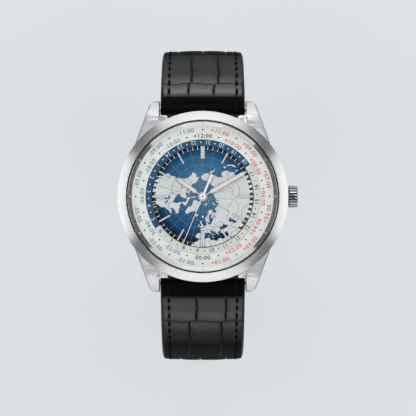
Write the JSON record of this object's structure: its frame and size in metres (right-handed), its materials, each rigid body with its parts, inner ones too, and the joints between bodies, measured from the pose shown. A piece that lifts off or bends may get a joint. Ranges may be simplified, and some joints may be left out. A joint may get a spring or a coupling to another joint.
{
  "type": "world time watch",
  "caption": "Self-winding wristwatch with a rotating 24-hour ring, a polar map dial, an exhibition back and an open leather strap with a pin buckle.",
  "frame": {"origin": "centre of the case back's outer face", "axes": "+Z out of the dial, +Y towards 12 o'clock, +X towards the crown at 3 o'clock"},
  "size_m": [0.044, 0.0767, 0.0775],
  "materials": {
    "satin_steel": "satin brushed",
    "polished_steel": "polished",
    "sapphire": "clear",
    "seal_rubber": "matte",
    "flange_lacquer": "satin",
    "city_lacquer": "satin",
    "day_ring_lacquer": "satin",
    "dial_lacquer": "gloss",
    "hand_steel": "polished",
    "bridge_rhodium": "striped",
    "wheel_gilt": "gilt",
    "work_steel": "ground",
    "spring_steel": "polished",
    "ruby": "polished",
    "rotor_gilt": "striped",
    "strap_leather": "semi-gloss scales"
  },
  "bodies": {
    "case": {"case_middle": "satin_steel", "bezel": "satin_steel", "crystal": "sapphire", "crystal_gasket": "seal_rubber", "case_back": "satin_steel", "back_crystal": "sapphire", "back_gasket": "seal_rubber", "movement_holder": "bridge_rhodium", "flange_ring": "flange_lacquer", "city_ring": "city_lacquer", "dial": "dial_lacquer", "hour_markers": "polished_steel", "main_plate": "bridge_rhodium", "motion_cover": "bridge_rhodium", "train_bridge": "bridge_rhodium", "barrel_bridge": "bridge_rhodium", "winding_bridge": "bridge_rhodium", "balance_cock": "bridge_rhodium", "pallet_cock": "bridge_rhodium", "bridge_screws": "polished_steel", "jewels": "ruby", "crown_tube": "polished_steel", "spring_bars": "polished_steel", "hairspring": "spring_steel"},
    "day_ring": {"hour_ring_24": "day_ring_lacquer"},
    "hour_group": {"hour_wheel": "wheel_gilt", "hour_hand": "hand_steel"},
    "minute_group": {"cannon_pinion": "work_steel", "minute_hand": "hand_steel"},
    "minute_wheel_group": {"minute_wheel": "wheel_gilt"},
    "ring_drive_group": {"ring_drive_wheel": "wheel_gilt"},
    "setting_wheel_group": {"setting_wheel": "work_steel"},
    "barrel_group": {"barrel": "wheel_gilt", "mainspring": "spring_steel"},
    "arbor_group": {"barrel_arbor": "work_steel", "ratchet_wheel": "work_steel"},
    "second_group": {"second_wheel": "wheel_gilt"},
    "third_group": {"third_wheel": "wheel_gilt"},
    "seconds_group": {"fourth_wheel": "wheel_gilt", "seconds_hand": "hand_steel"},
    "escape_group": {"escape_wheel": "wheel_gilt"},
    "pallet_group": {"pallet_fork": "work_steel"},
    "balance_group": {"balance_wheel": "wheel_gilt"},
    "crown_slider": {"crown_seal": "seal_rubber"},
    "crown_group": {"crown": "polished_steel", "winding_stem": "work_steel"},
    "winding_pinion_group": {"winding_pinion": "work_steel"},
    "sliding_pinion_group": {"sliding_pinion": "work_steel"},
    "crown_wheel_group": {"crown_wheel": "work_steel"},
    "setting_lever_group": {"setting_lever": "work_steel"},
    "yoke_group": {"yoke": "work_steel"},
    "click_group": {"click": "work_steel"},
    "rotor_group": {"rotor": "rotor_gilt"},
    "strap_upper_group": {"strap_upper": "strap_leather", "keeper_fixed": "strap_leather"},
    "keeper_group": {"keeper_loose": "strap_leather"},
    "buckle_group": {"buckle_frame": "polished_steel", "buckle_bar": "polished_steel"},
    "tongue_group": {"buckle_tongue": "polished_steel"},
    "strap_lower_group": {"strap_lower": "strap_leather"}
  },
  "joints": [
    {"name": "minute_hand_turn", "type": "hinge", "parent": "case", "child": "minute_group", "pos_m": [0, 0, 0.0085], "axis": [0, 0, -1], "continuous": true},
    {"name": "hour_hand_turn", "type": "hinge", "parent": "case", "child": "hour_group", "pos_m": [0, 0, 0.0085], "axis": [0, 0, -1], "continuous": true},
    {"name": "minute_wheel_turn", "type": "hinge", "parent": "case", "child": "minute_wheel_group", "pos_m": [0.00383, -0.0014, 0.0075], "axis": [0, 0, -1], "continuous": true},
    {"name": "ring_drive_turn", "type": "hinge", "parent": "case", "child": "ring_drive_group", "pos_m": [0.009, -0.00632, 0.0078], "axis": [0, 0, -1], "continuous": true},
    {"name": "day_ring_turn", "type": "hinge", "parent": "case", "child": "day_ring", "pos_m": [0, 0, 0.0085], "axis": [0, 0, -1], "continuous": true},
    {"name": "setting_wheel_turn", "type": "hinge", "parent": "case", "child": "setting_wheel_group", "pos_m": [0.00785, -0.00069, 0.0075], "axis": [0, 0, -1], "continuous": true},
    {"name": "third_wheel_turn", "type": "hinge", "parent": "case", "child": "third_group", "pos_m": [-0.00179, 0.00314, 0.005], "axis": [0, 0, 1], "continuous": true},
    {"name": "seconds_hand_turn", "type": "hinge", "parent": "case", "child": "seconds_group", "pos_m": [0, 0, 0.005], "axis": [0, 0, -1], "continuous": true},
    {"name": "escape_wheel_turn", "type": "hinge", "parent": "case", "child": "escape_group", "pos_m": [-0.00234, -0.00279, 0.0055], "axis": [0, 0, 1], "continuous": true},
    {"name": "second_wheel_turn", "type": "hinge", "parent": "case", "child": "second_group", "pos_m": [0.00168, 0.00427, 0.005], "axis": [0, 0, -1], "continuous": true},
    {"name": "barrel_turn", "type": "hinge", "parent": "case", "child": "barrel_group", "pos_m": [0.006, 0.0076, 0.0049], "axis": [0, 0, 1], "continuous": true},
    {"name": "balance_swing", "type": "hinge", "parent": "case", "child": "balance_group", "pos_m": [-0.0063, -0.0079, 0.0047], "axis": [0, 0, 1], "range_deg": [-25, 25], "stiffness_Nm_per_rad": 0.000001},
    {"name": "pallet_swing", "type": "hinge", "parent": "case", "child": "pallet_group", "pos_m": [-0.00402, -0.00496, 0.0058], "axis": [0, 0, 1], "range_deg": [-4.9, 4.9]},
    {"name": "crown_pull", "type": "slide", "parent": "case", "child": "crown_slider", "axis": [1, 0, 0], "range_m": [0, 0.001]},
    {"name": "crown_turn", "type": "hinge", "parent": "crown_slider", "child": "crown_group", "pos_m": [0.0215, 0, 0.005], "axis": [1, 0, 0], "continuous": true},
    {"name": "sliding_pinion_slide", "type": "slide", "parent": "crown_group", "child": "sliding_pinion_group", "axis": [-1, 0, 0], "range_m": [0, 0.00181]},
    {"name": "setting_lever_swing", "type": "hinge", "parent": "case", "child": "setting_lever_group", "pos_m": [0.0139, -0.0034, 0.00575], "axis": [0, 0, -1], "range_deg": [0, 16.8]},
    {"name": "yoke_swing", "type": "hinge", "parent": "case", "child": "yoke_group", "pos_m": [0.0086, -0.004, 0.0061], "axis": [0, 0, 1], "range_deg": [0, 11.5]},
    {"name": "winding_pinion_turn", "type": "hinge", "parent": "case", "child": "winding_pinion_group", "pos_m": [0.0102, 0, 0.005], "axis": [1, 0, 0], "continuous": true},
    {"name": "crown_wheel_turn", "type": "hinge", "parent": "case", "child": "crown_wheel_group", "pos_m": [0.007, 0, 0.0034], "axis": [0, 0, 1], "continuous": true},
    {"name": "ratchet_turn", "type": "hinge", "parent": "case", "child": "arbor_group", "pos_m": [0.006, 0.0076, 0.0034], "axis": [0, 0, 1], "continuous": true},
    {"name": "click_swing", "type": "hinge", "parent": "case", "child": "click_group", "pos_m": [0.00507, 0.01287, 0.00335], "axis": [0, 0, 1], "range_deg": [0, 8], "stiffness_Nm_per_rad": 0.00001},
    {"name": "rotor_turn", "type": "hinge", "parent": "case", "child": "rotor_group", "pos_m": [0, 0, 0.002], "axis": [0, 0, 1], "continuous": true},
    {"name": "strap_upper_swing", "type": "hinge", "parent": "case", "child": "strap_upper_group", "pos_m": [0, 0.0215, 0.0026], "axis": [1, 0, 0], "range_deg": [-5, 35]},
    {"name": "strap_lower_swing", "type": "hinge", "parent": "case", "child": "strap_lower_group", "pos_m": [0, -0.0215, 0.0026], "axis": [-1, 0, 0], "range_deg": [-3, 35]},
    {"name": "keeper_slide", "type": "slide", "parent": "strap_upper_group", "child": "keeper_group", "axis": [0, -0.866, -0.5], "range_m": [-0.006, 0.001]},
    {"name": "buckle_swing", "type": "hinge", "parent": "strap_upper_group", "child": "buckle_group", "pos_m": [0, -0.00009, -0.04641], "axis": [1, 0, 0], "range_deg": [-95, 2]},
    {"name": "tongue_swing", "type": "hinge", "parent": "buckle_group", "child": "tongue_group", "pos_m": [0, -0.00009, -0.04641], "axis": [1, 0, 0], "range_deg": [0, 35]}
  ],
  "couplings": [
    {"joint": "hour_hand_turn", "follows": "minute_hand_turn", "ratio": 0.083333},
    {"joint": "minute_wheel_turn", "follows": "minute_hand_turn", "ratio": -0.33333},
    {"joint": "ring_drive_turn", "follows": "minute_hand_turn", "ratio": 0.25},
    {"joint": "day_ring_turn", "follows": "minute_hand_turn", "ratio": 0.041667},
    {"joint": "setting_wheel_turn", "follows": "minute_hand_turn", "ratio": 1},
    {"joint": "seconds_hand_turn", "follows": "third_wheel_turn", "ratio": 7.5},
    {"joint": "escape_wheel_turn", "follows": "third_wheel_turn", "ratio": 90},
    {"joint": "second_wheel_turn", "follows": "third_wheel_turn", "ratio": 0.125},
    {"joint": "barrel_turn", "follows": "third_wheel_turn", "ratio": 0.020833},
    {"joint": "pallet_swing", "follows": "balance_swing", "ratio": -0.1925},
    {"joint": "winding_pinion_turn", "follows": "crown_turn", "ratio": 1},
    {"joint": "crown_wheel_turn", "follows": "crown_turn", "ratio": 0.38889},
    {"joint": "ratchet_turn", "follows": "crown_turn", "ratio": -0.28},
    {"joint": "sliding_pinion_slide", "follows": "crown_pull", "ratio": 1.8},
    {"joint": "setting_lever_swing", "follows": "crown_pull", "rad_per_m": 292},
    {"joint": "yoke_swing", "follows": "crown_pull", "rad_per_m": 199.3}
  ]
}
